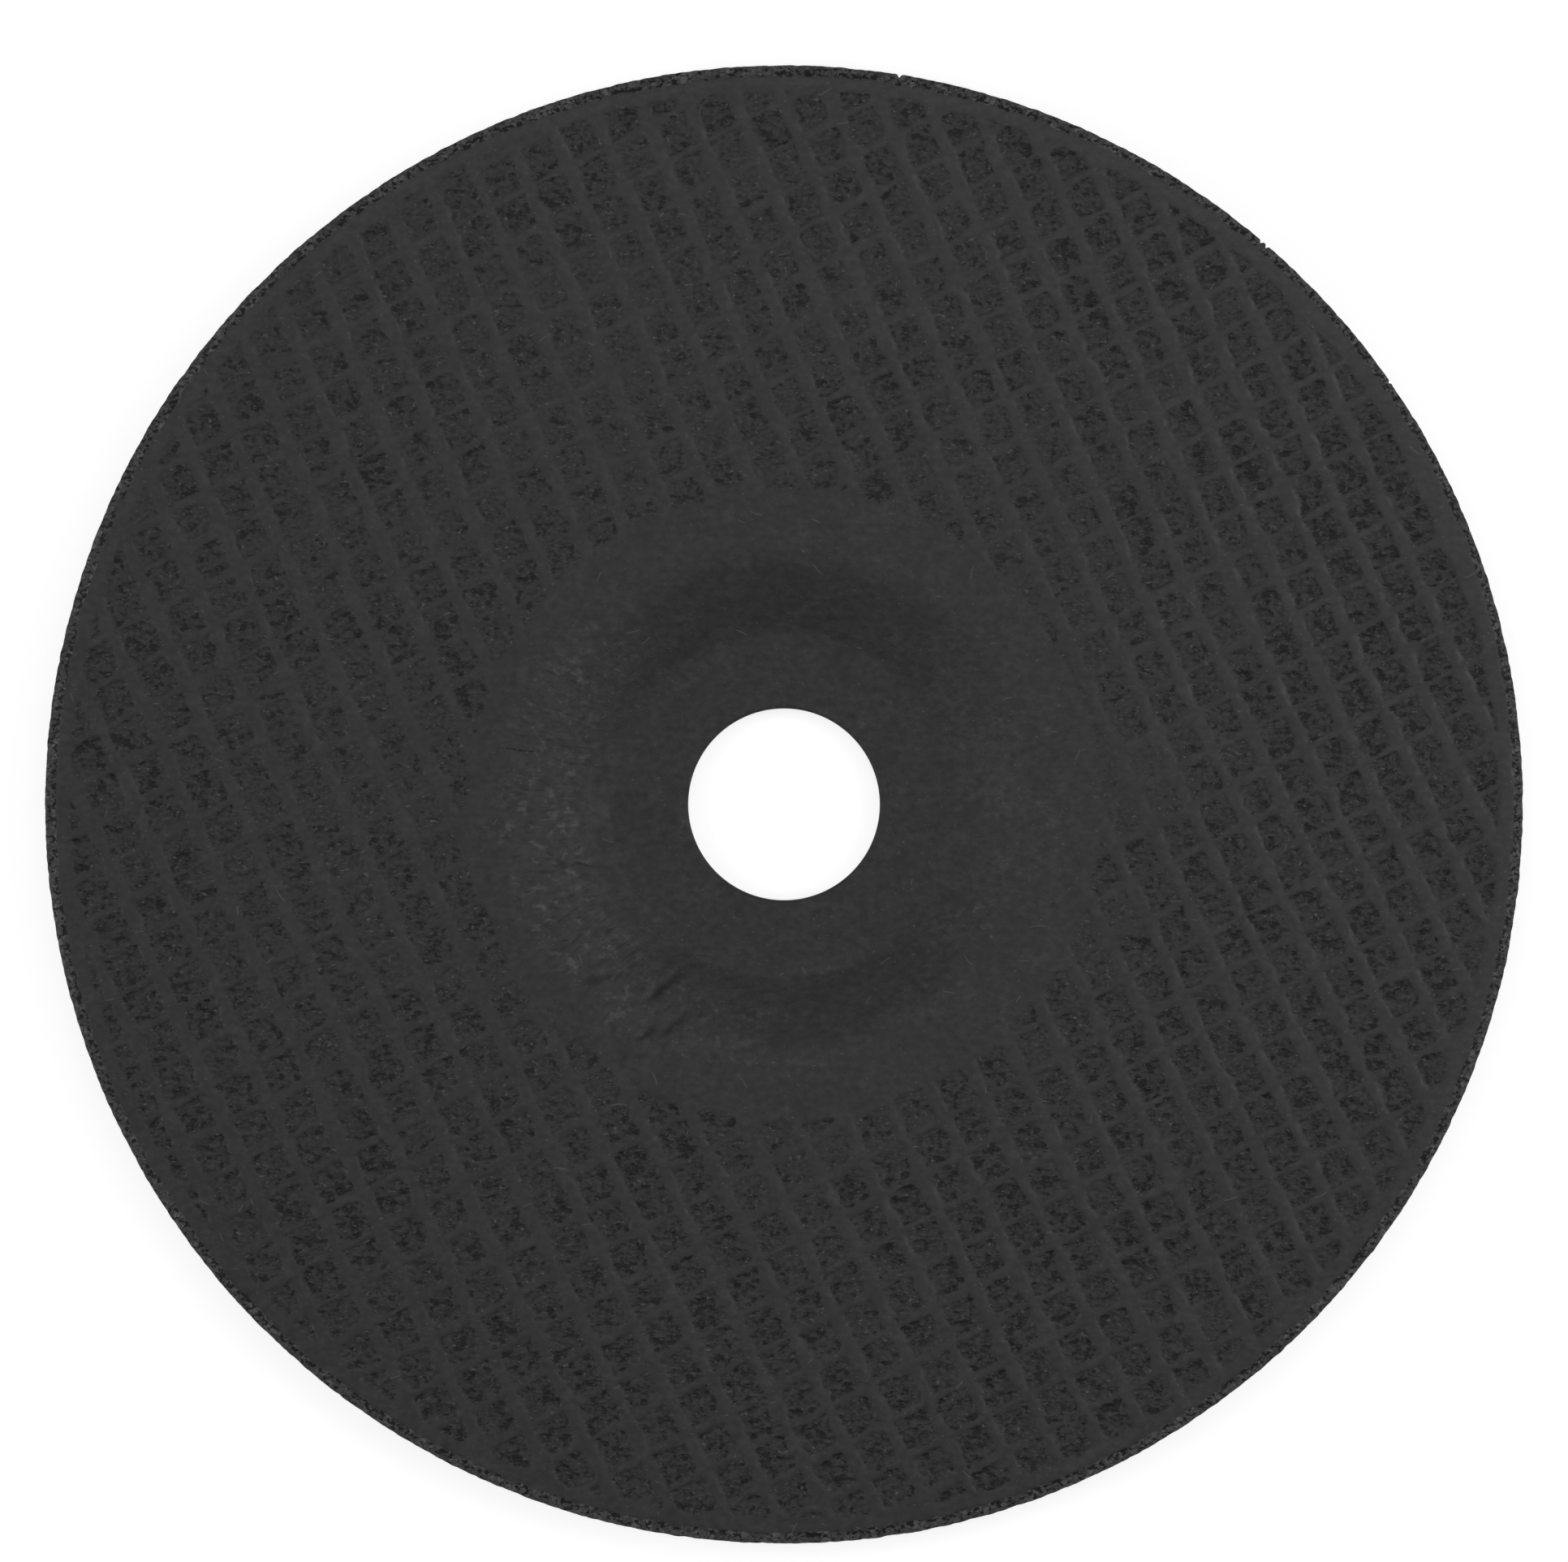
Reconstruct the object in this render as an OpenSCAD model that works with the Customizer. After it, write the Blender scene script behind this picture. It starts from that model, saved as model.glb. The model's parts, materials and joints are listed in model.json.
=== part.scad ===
// Depressed-centre cut-off wheel: one pressed disc of bonded abrasive with a woven glass mesh in its faces.
// It lies dish up on the flat back of its hub. The origin is on the axis, in that flat back.

/* [Wheel] */
// Outside diameter of the wheel
wheel_d = 178; // [150:1:230]
// Thickness of the disc, skins and mesh included
wheel_t = 3.2; // [2.4:0.1:6.4]

/* [Arbor hole] */
// Pilot of the spindle or nut that the wheel is made for
pilot_d = 22.23; // [15.88:0.01:25.4]
// How much wider than the pilot the hole is moulded
bore_clearance = 0.27; // [0.1:0.01:0.4]
// Width of the edges broken off the hole at both faces
bore_break = 0.35; // [0.1:0.05:0.6]

/* [Depressed centre] */
// Flat floor of the dish, on which the lock nut bears
hub_flat_d = 40.2; // [36:0.1:50]
// How far the hub is set back from the disc
dish_depth = 4.6; // [3:0.1:6]
// Steepness of the dish wall
dish_angle = 27; // [20:1:40]
// Inside radius of the bend at the foot of the dish wall
foot_bend_r = 3; // [1:0.1:6]
// Inside radius of the bend at the shoulder of the dish wall
shoulder_bend_r = 4.5; // [2:0.1:8]
// Width of the smooth ring between the shoulder and the mesh
hub_ring_w = 5.4; // [2:0.1:12]

/* [Rim] */
// Width of the smooth border between the mesh and the bare edge
border_w = 1.35; // [0.5:0.05:4]
// Width of the band of bare abrasive along the edge
edge_band_w = 1.65; // [0.5:0.05:4]
// How far that band falls away towards the edge, on each face
edge_drop = 0.35; // [0.1:0.05:0.8]

/* [Glass mesh] */
// Depth of the windows pressed in between the yarns
window_depth = 0.3; // [0.1:0.05:0.6]
// Spacing of the warp yarns, the wide ones
warp_pitch = 5.45; // [4:0.05:9]
// Width of a warp yarn
warp_yarn_w = 1.6; // [0.6:0.1:2.4]
// Direction across the warp yarns, in degrees from +X
warp_turn = 24.4; // [-45:0.1:45]
// How far the warp yarns have drifted sideways where they meet the rim
warp_drift = 3.3; // [0:0.1:5]
// How far the ends of the warp yarns bow sideways
warp_bow = 1.4; // [0:0.1:4]
// Spacing of the weft yarns, the narrow ones
weft_pitch = 4.9; // [4:0.05:9]
// Width of a weft yarn
weft_yarn_w = 0.8; // [0.4:0.1:2]
// Direction across the weft yarns, in degrees from +X
weft_turn = -62.6; // [-90:0.1:-50]

/* [Colour] */
// Colour of the black resin skin
skin_colour = "#333333";

/* [Hidden] */
$fn = 60;

// Where the yarns nearest the axis lie, as shares of their spacing
warp_start_share = 0.3;
weft_start_share = 0.66;

// How far a cutting shape stands out of the face that it cuts
overrun = 1;
// Flat steps along each bend of the dish wall
bend_steps = 3;
// Straight stretches along a trough between two bowed warp yarns
trough_steps = 2;

wheel_r = wheel_d / 2;
bore_r = (pilot_d + bore_clearance) / 2;
hub_flat_r = hub_flat_d / 2;

// Heights of the disc's two faces above the hub's back
disc_back_z = dish_depth;
disc_front_z = dish_depth + wheel_t;

// Bends of the dish wall, which keeps the disc's thickness all along
bend_sum_r = foot_bend_r + shoulder_bend_r + wheel_t;
straight_rise = dish_depth - bend_sum_r * (1 - cos(dish_angle));
shoulder_r = hub_flat_r + bend_sum_r * sin(dish_angle) + straight_rise / tan(dish_angle);
foot_centre = [hub_flat_r, wheel_t + foot_bend_r];
shoulder_centre = [shoulder_r, disc_back_z - shoulder_bend_r];

// Ring of the face that shows the mesh
mesh_inner_r = shoulder_r + hub_ring_w;
edge_inner_r = wheel_r - edge_band_w;
mesh_outer_r = edge_inner_r - border_w;

// Enough yarns on each side of the axis to reach the rim
warp_count = ceil((wheel_r + warp_drift + warp_bow) / warp_pitch) + 1;
weft_count = ceil(wheel_r / weft_pitch) + 1;

// Points along a bend, from one angle to another, with 0 degrees straight down from its centre
function bend(centre, r, from, to) = [
    for (step = [0 : bend_steps])
        let (a = from + (to - from) * step / bend_steps)
        centre + r * [sin(a), -cos(a)]
];

function direction(angle) = [cos(angle), sin(angle)];

function along(v, angle) = v * direction(angle);

// Place of a point of the warp, counted in spacings from the axis, with the sideways drift of the cloth
function warp_place(count) =
    let (even = warp_pitch * (count + warp_start_share))
    let (near = even - warp_drift * pow(even / wheel_r, 2))
    even - warp_drift * pow(near / wheel_r, 2);

function weft_place(count) = weft_pitch * (count + weft_start_share);

// Sideways bow of the warp at a distance along its yarns
function bow(distance) = warp_bow * pow(distance / wheel_r, 2);

// Where a line across the warp direction meets a line across the weft direction
function crossing(warp_at, weft_at) =
    let (a = direction(warp_turn), b = direction(weft_turn))
    [warp_at * b.y - weft_at * a.y, weft_at * a.x - warp_at * b.x] / (a.x * b.y - a.y * b.x);

// The same with the warp bowed
function woven_point(warp_at, weft_at) =
    let (straight = crossing(warp_at, weft_at))
    crossing(warp_at + bow(along(straight, warp_turn + 90)), weft_at);

// Place of an edge of a gap between two warp yarns or two weft yarns
function warp_edge(count, side) = warp_place(count + (1 + side) / 2) - side * warp_yarn_w / 2;
function weft_edge(count, side) = weft_place(count + (1 + side) / 2) - side * weft_yarn_w / 2;

// The section of the wheel, from the hole to the rim
module section() {
    polygon(concat(
        [[bore_r + bore_break, 0], [bore_r, bore_break]],
        [[bore_r, wheel_t - bore_break], [bore_r + bore_break, wheel_t]],
        bend(foot_centre, foot_bend_r, 0, dish_angle),
        bend(shoulder_centre, shoulder_bend_r + wheel_t, 180 + dish_angle, 180),
        [[edge_inner_r, disc_front_z], [wheel_r, disc_front_z - edge_drop]],
        [[wheel_r, disc_back_z + edge_drop], [edge_inner_r, disc_back_z]],
        bend(shoulder_centre, shoulder_bend_r, 180, 180 + dish_angle),
        bend(foot_centre, foot_bend_r + wheel_t, dish_angle, 0)
    ));
}

module mesh_ring() {
    difference() {
        circle(mesh_outer_r);
        circle(mesh_inner_r);
    }
}

// The window between two neighbouring warp yarns and two neighbouring weft yarns
module window(i, j) {
    corners = [for (side = [[-1, -1], [1, -1], [1, 1], [-1, 1]])
        woven_point(warp_edge(i, side.x), weft_edge(j, side.y))];
    middle_r = norm(corners[0] + corners[2]) / 2;
    if (middle_r > mesh_inner_r && middle_r < mesh_outer_r) polygon(corners);
}

module windows() {
    intersection() {
        mesh_ring();
        for (i = [-warp_count : warp_count], j = [-weft_count : weft_count]) window(i, j);
    }
}

// The trough between two neighbouring warp yarns, from rim to rim
module trough(i) {
    reach = [for (step = [0 : trough_steps]) wheel_r * (2 * step / trough_steps - 1)];
    polygon([for (side = [-1, 1], at = side * reach)
        (warp_edge(i, side) + bow(at)) * direction(warp_turn) + at * direction(warp_turn + 90)]);
}

module troughs() {
    intersection() {
        mesh_ring();
        for (i = [-warp_count : warp_count]) trough(i);
    }
}

// The wheel: a dished disc with the mesh's windows in its front and the warp's troughs in its back
module wheel() {
    color(skin_colour)
    difference() {
        rotate_extrude() section();
        translate([0, 0, disc_front_z - window_depth])
            linear_extrude(window_depth + overrun) windows();
        translate([0, 0, disc_back_z - overrun])
            linear_extrude(window_depth + overrun) troughs();
    }
}

wheel();
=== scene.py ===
"""Depressed-centre cut-off wheel, dressed.

The wheel is one moulded piece. Its surface is built here as closed skins that meet face to face: the dished hub,
the woven ring in strips on the front and in halves on the back, and the bare rim.
"""
import json
import math

import bpy
import numpy as np
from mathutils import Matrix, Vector


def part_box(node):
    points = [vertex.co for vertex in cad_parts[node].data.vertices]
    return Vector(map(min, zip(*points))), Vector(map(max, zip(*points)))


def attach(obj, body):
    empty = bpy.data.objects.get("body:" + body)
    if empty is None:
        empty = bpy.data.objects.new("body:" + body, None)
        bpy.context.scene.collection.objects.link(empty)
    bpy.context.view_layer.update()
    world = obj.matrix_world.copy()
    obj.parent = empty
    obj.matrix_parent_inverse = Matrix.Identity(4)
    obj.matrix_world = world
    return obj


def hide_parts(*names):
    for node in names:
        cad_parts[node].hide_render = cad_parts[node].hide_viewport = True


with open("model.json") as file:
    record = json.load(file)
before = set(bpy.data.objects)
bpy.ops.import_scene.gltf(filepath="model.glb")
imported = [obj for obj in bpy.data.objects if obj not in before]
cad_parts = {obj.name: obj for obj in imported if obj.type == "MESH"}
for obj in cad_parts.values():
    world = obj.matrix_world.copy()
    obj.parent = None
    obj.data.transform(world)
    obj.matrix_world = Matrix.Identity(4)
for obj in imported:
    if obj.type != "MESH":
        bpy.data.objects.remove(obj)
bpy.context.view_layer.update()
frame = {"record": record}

bl_info = {
    "name": "Cut-off wheel",
    "version": (1, 0, 0),
    "blender": (4, 5, 0),
    "location": "3D View > Sidebar > Cut-off wheel",
    "description": "Builds a dressed depressed-centre abrasive wheel in a plain studio",
    "category": "Add Mesh",
}

# Metres in a millimetre: shapes are worked out in millimetres and written to the meshes in metres
MM = 0.001

WHEEL_NODE = "wheel"
WHEEL_BODY = "root"
WHEEL_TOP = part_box(WHEEL_NODE)[1]
WHEEL_THICKNESS = 0.0032
HOLE_RADIUS = frame["record"]["mounts"][0]["dims"]["r_mm"] * MM


# Sizes and colours that a user can change


def length(name, default, description):
    """A length in metres."""
    return bpy.props.FloatProperty(name=name, default=default, description=description, unit="LENGTH", precision=5)


def angle(name, degrees, description):
    """An angle, given here in degrees."""
    return bpy.props.FloatProperty(name=name, default=math.radians(degrees), description=description, subtype="ANGLE")


def share(name, default, description):
    """A share of a whole, or a factor."""
    return bpy.props.FloatProperty(name=name, default=default, description=description, min=0)


def colour(name, grey, description):
    """A linear colour, given here as its grey."""
    return bpy.props.FloatVectorProperty(
        name=name, default=(grey, grey, grey), description=description, subtype="COLOR", min=0, max=1
    )


class WheelSection(bpy.types.PropertyGroup):
    """Sizes of the wheel's section"""

    radius: length("Radius", WHEEL_TOP.x, "Outside radius of the wheel")
    thickness: length("Thickness", WHEEL_THICKNESS, "Thickness of the disc")
    hole_radius: length("Hole radius", HOLE_RADIUS, "Radius of the arbor hole")
    hole_wear: length("Hole wear", 0.00035, "How far the wall of the hole is worn back")
    hole_edge: length("Hole edge", 0.00035, "Radius of the worn edges of the hole")
    hub_flat_radius: length("Hub flat radius", 0.0201, "Radius of the flat floor of the dish")
    dish_depth: length("Dish depth", WHEEL_TOP.z - WHEEL_THICKNESS, "How far the hub is set back from the disc")
    dish_angle: angle("Dish angle", 27, "Steepness of the dish wall")
    foot_bend: length("Foot bend", 0.003, "Inside radius of the bend at the foot of the dish wall")
    shoulder_bend: length("Shoulder bend", 0.0045, "Inside radius of the bend at the shoulder")
    hub_ring: length("Hub ring", 0.0054, "Width of the smooth ring between the shoulder and the mesh")
    border: length("Border", 0.00105, "Width of the smooth border between the mesh and the bare edge")
    edge_band: length("Edge band", 0.00132, "Width of the bare band along the edge")
    edge_drop: length("Edge drop", 0.00035, "How far that band falls away towards the edge")


class WheelCloth(bpy.types.PropertyGroup):
    """Layout of the glass mesh"""

    window_depth: length("Window depth", 0.0003, "Depth of the windows between the yarns")
    warp_pitch: length("Warp pitch", 0.00545, "Spacing of the wide yarns")
    warp_start: share("Warp start", 0.3, "Place of the wide yarn nearest the axis, as a share of the spacing")
    warp_turn: angle("Warp turn", 24.4, "Direction across the wide yarns")
    warp_drift: length("Warp drift", 0.0033, "Sideways drift of the wide yarns at the rim")
    warp_bow: length("Warp bow", 0.0014, "Sideways bow of the wide yarns' ends")
    weft_pitch: length("Weft pitch", 0.0049, "Spacing of the narrow yarns")
    weft_start: share("Weft start", 0.66, "Place of the narrow yarn nearest the axis, as a share of the spacing")
    weft_turn: angle("Weft turn", -62.6, "Direction across the narrow yarns")
    wander: length("Wander", 0.00012, "How far the yarns wander from their lines")


class WheelFinish(bpy.types.PropertyGroup):
    """Colours and gloss of the wheel"""

    skin: colour("Skin", 0.0360, "Black resin skin")
    skin_dark: colour("Dark skin", 0.0160, "Resin skin in its duller places")
    window: colour("Window", 0.0105, "Resin film over the grain in the windows")
    film_light: colour("Light film", 0.0330, "Lighter places of that film")
    # Painted shade: near black in the deep hollows of the film.
    hollow_shade: colour("Hollow", 0.0010, "Deep hollows of that film")
    # Painted light: the tone, about that of bare grain, that painted light and painted highlights lift the skin
    # towards.
    highlight_tone: colour("Light grain", 0.0820, "Bare abrasive grain")
    grain_dark: colour("Dark grain", 0.0430, "Duller grain")
    # Painted shade: near black for the shade in pits, cracks and creases.
    pit_shade: colour("Pit", 0.0010, "Pits between the bare grains")
    # Also the colour of the painted glints in the windows.
    fibre_and_glint: colour("Fibre", 0.1000, "Glass fibres, specks and the palest grains")
    gloss: share("Gloss", 0.30, "Strength of the reflection, half of that of clear plastic at 0.25")
    skin_roughness: share("Skin roughness", 0.60, "Roughness of the resin skin")
    window_roughness: share("Window roughness", 0.50, "Roughness of the resin film in the windows")
    grain_roughness: share("Grain roughness", 0.66, "Roughness of the bare grain")


class WheelStudio(bpy.types.PropertyGroup):
    """Lamps, floor and camera"""

    right_lamp: share("Right lamp", 2.07, "Power of the softbox on the right, in watts")
    left_lamp: share("Left lamp", 3.75, "Power of the softbox on the left, in watts")
    high_lamp: share("High lamp", 1.33, "Power of the softbox high above, in watts")
    fill: share("Fill", 0.25, "Strength of the even light from above")
    backdrop: colour("Backdrop", 1.0, "Colour of the background")
    lens: share("Lens", 200, "Focal length of the camera, in millimetres")
    picture_width: length("Picture width", 0.18876, "Width of what the camera sees at the wheel's face")
    picture_rise: length("Picture rise", 0.00283, "How far above the wheel's axis the picture is centred")


# Shapes: sections, noise and the cloth


def smooth(low, high, value):
    """0 below low and 1 above high, with an S-curve between."""
    t = np.clip((value - low) / (high - low), 0, 1)
    return t * t * (3 - 2 * t)


def arc(centre, radius, start, end, steps=24):
    """Points (r, z) along an arc, with 0 degrees straight down from its centre."""
    turn = np.radians(np.linspace(start, end, steps + 1))
    return np.array(centre) + radius * np.stack([np.sin(turn), -np.cos(turn)], axis=1)


def spaced(points, step):
    """The same line with its points about a step apart."""
    line = np.concatenate(points)
    run = np.concatenate([[0], np.cumsum(np.hypot(*np.diff(line, axis=0).T))])
    at = np.linspace(0, run[-1], max(2, round(run[-1] / step) + 1))
    return np.stack([np.interp(at, run, line[:, axis]) for axis in (0, 1)], axis=1)


class Section:
    """The wheel's section in millimetres."""

    def __init__(self, sizes):
        self.rim_r = sizes.radius / MM
        self.thick = sizes.thickness / MM
        self.hole_r = (sizes.hole_radius + sizes.hole_wear) / MM
        self.hole_edge = sizes.hole_edge / MM
        self.hub_flat_r = sizes.hub_flat_radius / MM
        self.back_z = sizes.dish_depth / MM
        self.dish_angle = math.degrees(sizes.dish_angle)
        self.foot_bend = sizes.foot_bend / MM
        self.shoulder_bend = sizes.shoulder_bend / MM
        self.edge_drop = sizes.edge_drop / MM
        self.front_z = self.back_z + self.thick
        self.middle_z = self.back_z + self.thick / 2
        bends = self.foot_bend + self.shoulder_bend + self.thick
        rise = self.back_z - bends * (1 - math.cos(sizes.dish_angle))
        slope_run = bends * math.sin(sizes.dish_angle) + rise / math.tan(sizes.dish_angle)
        self.shoulder_r = self.hub_flat_r + slope_run
        self.cloth_inner_r = self.shoulder_r + sizes.hub_ring / MM
        self.band_inner_r = self.rim_r - sizes.edge_band / MM
        self.cloth_outer_r = self.band_inner_r - sizes.border / MM

    def dished_wall(self, depth, step):
        """The dished wall from the hole to the mesh, at a depth below its front face."""
        foot = (self.hub_flat_r, self.thick + self.foot_bend)
        shoulder = (self.shoulder_r, self.back_z - self.shoulder_bend)
        return spaced(
            [
                [(self.hole_r + self.hole_edge, self.thick - depth)],
                arc(foot, self.foot_bend + depth, 0, self.dish_angle),
                arc(shoulder, self.shoulder_bend + self.thick - depth, 180 + self.dish_angle, 180),
                [(self.cloth_inner_r, self.front_z - depth)],
            ],
            step,
        )

    def hole_wall(self, step):
        """The upper half of the hole's wall with its worn edge, from the middle up."""
        centre = (self.hole_r + self.hole_edge, self.thick - self.hole_edge)
        return spaced([[(self.hole_r, self.thick / 2)], arc(centre, self.hole_edge, 270, 180)], step)[:-1]

    def hole_foot(self, step):
        """The lower half of the hole's wall, from the back up."""
        centre = (self.hole_r + self.hole_edge, self.hole_edge)
        return spaced([arc(centre, self.hole_edge, 360, 270), [(self.hole_r, self.thick / 2)]], step)[1:]

    def rim_line(self, step):
        """The border, the bare band and the edge, from the front mesh round to the back mesh."""
        band_z = self.front_z - self.edge_drop
        edge_z = self.back_z + self.edge_drop
        return spaced(
            [
                [(self.cloth_outer_r, self.front_z), (self.band_inner_r, self.front_z), (self.rim_r, band_z)],
                [(self.rim_r, edge_z), (self.band_inner_r, self.back_z), (self.cloth_outer_r, self.back_z)],
            ],
            step,
        )


# Random tables have this many cells each way
CELLS = 256


def cell_index(index, wrap):
    """Cells of a random table for whole-number places, repeating after wrap cells if it is given."""
    return (index % wrap if wrap else index) % CELLS


def turned(x, y, seed):
    """The same plane turned by an angle of the seed's own."""
    return x * math.cos(seed) - y * math.sin(seed), x * math.sin(seed) + y * math.cos(seed)


def soft_noise(x, y, size, seed, wrap=None):
    """Smooth noise from -1 to 1 with bumps about size across. With wrap, x repeats after that many bumps."""
    table = np.random.default_rng(seed).uniform(-1, 1, (CELLS, CELLS))
    if not wrap:
        x, y = turned(x, y, seed)
    u, v = x / size, y / size
    i, j = np.floor(u).astype(int), np.floor(v).astype(int)
    s, t = smooth(0, 1, u - i), smooth(0, 1, v - j)
    left, right = cell_index(i, wrap), cell_index(i + 1, wrap)
    low, high = j % CELLS, (j + 1) % CELLS
    near = table[left, low] * (1 - s) + table[right, low] * s
    far = table[left, high] * (1 - s) + table[right, high] * s
    return near * (1 - t) + far * t


def pebbles(x, y, size, seed, wrap=None):
    """Heights of packed pebbles about size across, from about -0.5 in the grooves to 0.6 on the tallest."""
    rng = np.random.default_rng(seed)
    jitter = rng.uniform(0, 1, (2, CELLS, CELLS))
    lift = rng.uniform(0, 0.6, (CELLS, CELLS))
    if not wrap:
        x, y = turned(x, y, seed)
    u, v = x / size, y / size
    i, j = np.floor(u).astype(int), np.floor(v).astype(int)
    height = np.full(u.shape, -9.0)
    for across in (-1, 0, 1):
        for up in (-1, 0, 1):
            a, b = cell_index(i + across, wrap), (j + up) % CELLS
            gap_u = i + across + jitter[0][a, b] - u
            gap_v = j + up + jitter[1][a, b] - v
            height = np.maximum(height, lift[a, b] - gap_u**2 - gap_v**2)
    return height


class Cloth:
    """The glass mesh laid over the wheel, in millimetres."""

    def __init__(self, sizes, radius):
        self.radius = radius
        self.depth = sizes.window_depth / MM
        self.pitch = (sizes.warp_pitch / MM, sizes.weft_pitch / MM)
        self.start = (sizes.warp_start, sizes.weft_start)
        self.turn = (sizes.warp_turn, sizes.weft_turn)
        self.drift = sizes.warp_drift / MM
        self.bow = sizes.warp_bow / MM
        self.wander = sizes.wander / MM

    def centres(self, yarns):
        """Places of the warp's (0) or weft's (1) yarns across the wheel."""
        count = math.ceil((self.radius + self.drift + self.bow) / self.pitch[yarns]) + 1
        even = self.pitch[yarns] * (np.arange(-count, count + 1) + self.start[yarns])
        if yarns == 1:
            return even
        near = even - self.drift * (even / self.radius) ** 2
        return even - self.drift * (near / self.radius) ** 2

    def crossing(self, warp_at, weft_at):
        """Where a line across the warp direction meets a line across the weft direction."""
        ax, ay = math.cos(self.turn[0]), math.sin(self.turn[0])
        bx, by = math.cos(self.turn[1]), math.sin(self.turn[1])
        spread = ax * by - ay * bx
        return (warp_at * by - weft_at * ay) / spread, (weft_at * ax - warp_at * bx) / spread

    def place(self, warp_at, weft_at):
        """The same with the warp bowed and every yarn wandering a little."""
        warp_at = warp_at + self.wander * soft_noise(warp_at, weft_at, 13, 31)
        weft_at = weft_at + self.wander * soft_noise(warp_at, weft_at, 11, 32)
        x, y = self.crossing(warp_at, weft_at)
        along = y * math.cos(self.turn[0]) - x * math.sin(self.turn[0])
        return self.crossing(warp_at + self.bow * (along / self.radius) ** 2, weft_at)


def grid_lines(centres, near, gap_steps):
    """Grid lines across yarns: at fixed distances beside each yarn's centre, and even over the gap between."""
    lines = []
    for left, right in zip(centres, centres[1:]):
        gap = np.linspace(left + near[-1], right - near[-1], gap_steps + 1)[1:-1]
        lines.append(np.concatenate([left + near, gap, right - near[:0:-1]]))
    return np.append(np.concatenate(lines), centres[-1])


def yarn_gaps(lines, centres):
    """How far each grid line is from its nearest yarn, and how far across its gap as a share."""
    nearest = np.abs(lines[:, None] - centres[None, :]).min(axis=1)
    return nearest, np.interp(lines, centres, np.arange(len(centres))) % 1


# Places where resin has filled the windows: x, y and radius in millimetres, and the share filled
FILLED_PLACES = (
    (-20, 54, 13, 0.16),
    (-26, 42, 9, 0.12),
    (8, 62, 8, 0.10),
    (41, 2, 7, 0.40),
    (40, -14, 6, 0.25),
    (-41, 2, 5, 0.20),
    (-36, -22, 6, 0.15),
    (6, -42, 7, 0.25),
    (2, 42, 6, 0.15),
    (44, 49, 3.5, 0.30),
)


def openness(x, y, section):
    """How open the windows are over the face, from 0 where they are filled to 1."""
    r = np.hypot(x, y)
    fray = 0.45 * soft_noise(x, y, 1.8, 41)
    value = 0.74 + 0.20 * smooth(45, 82, r + 0.25 * x - 0.35 * y) + 0.07 * soft_noise(x, y, 14, 42)
    value = value + 0.18 * soft_noise(x, y, 4.6, 43)
    for place_x, place_y, radius, filled in FILLED_PLACES:
        value = value - filled * np.exp(-((x - place_x) ** 2 + (y - place_y) ** 2) / radius**2)
    inner = smooth(section.cloth_inner_r + 0.2, section.cloth_inner_r + 1.6, r + fray)
    outer = 1 - smooth(section.cloth_outer_r - 1.0, section.cloth_outer_r - 0.3, r + 0.5 * fray)
    return np.clip(value, 0.40, 1) * inner * outer


def woven_relief(x, y, warp, weft, cloth, section):
    """Height of the woven face and its marks: how deep in a window each point lies, and where a painted highlight lies
    along one flank of its wide yarn.
    """
    fray = 0.28 * soft_noise(x, y, 2.3, 51) + 0.22 * soft_noise(x, y, 1.0, 52)
    warp_gap, warp_share = warp
    weft_gap = weft[0]
    waist = 0.10 * np.sin(math.pi * warp_share) ** 2
    on_warp = 1 - smooth(0.42, 1.05, warp_gap + fray)
    on_weft = 1 - smooth(0.20, 0.80, weft_gap + waist + fray)
    window = (1 - on_warp) * (1 - on_weft)
    sunk = window * openness(x, y, section)
    crumple = 0.09 * pebbles(x / 1.25, y, 1.25, 53) + 0.04 * soft_noise(x, y, 0.9, 54)
    fade = window_fade(x, y, section)
    crown = 0.04 * (1 - smooth(0.1, 1.0, warp_gap)) * fade
    height = crown - 0.75 * cloth.depth * sunk + crumple * sunk
    # A painted highlight along one flank of each wide yarn, next to the windows.
    flank = np.exp(-(((warp_gap + fray - 0.66) / 0.22) ** 2)) * (warp_share < 0.5)
    flank_highlight = flank * (1 - on_weft) * openness(x, y, section)
    return height + 0.010 * soft_noise(x, y, 1.6, 55) * fade, {"window": sunk, "flank_highlight": flank_highlight}


# Chips out of the outer edge: angle in degrees, width and depth in millimetres
CHIPS = ((81.0, 0.75, 0.42), (49.1, 0.45, 0.40), (49.7, 0.45, 0.34), (34.9, 0.40, 0.25))


def chipped_radius(angles, rim_r):
    """Largest radius that each turn may reach, less in the chips."""
    reach = np.full(angles.shape, rim_r + 1.0)
    for at, width, depth in CHIPS:
        off = np.abs(angles - math.radians(at)) * rim_r
        reach = np.minimum(reach, rim_r - depth + 2 * depth * smooth(0.2 * width, 0.6 * width, off))
    return reach


def window_fade(x, y, section):
    """1 over the mesh, falling to 0 at its inner and outer edges."""
    r = np.hypot(x, y)
    inner = smooth(section.cloth_inner_r, section.cloth_inner_r + 1, r)
    return inner * (1 - smooth(section.cloth_outer_r - 0.8, section.cloth_outer_r, r))


def skin_wave(x, y):
    """The slow waves that run over the whole skin."""
    return 0.035 * soft_noise(x, y, 12, 61) + 0.018 * soft_noise(x, y, 5, 62)


# Meshes


def sweep(section_loop, turns):
    """A closed section turned round the axis: the angle of each turn, the faces, and each corner's turn and row."""
    rows = len(section_loop)
    turn, row = np.meshgrid(np.arange(turns), np.arange(rows), indexing="ij")
    turn = turn.ravel()[:, None] + np.array([0, 0, 1, 1])
    row = row.ravel()[:, None] + np.array([0, 1, 1, 0])
    faces = (turn % turns) * rows + row % rows
    return np.linspace(0, 2 * math.pi, turns, endpoint=False), faces, turn, row


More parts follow.
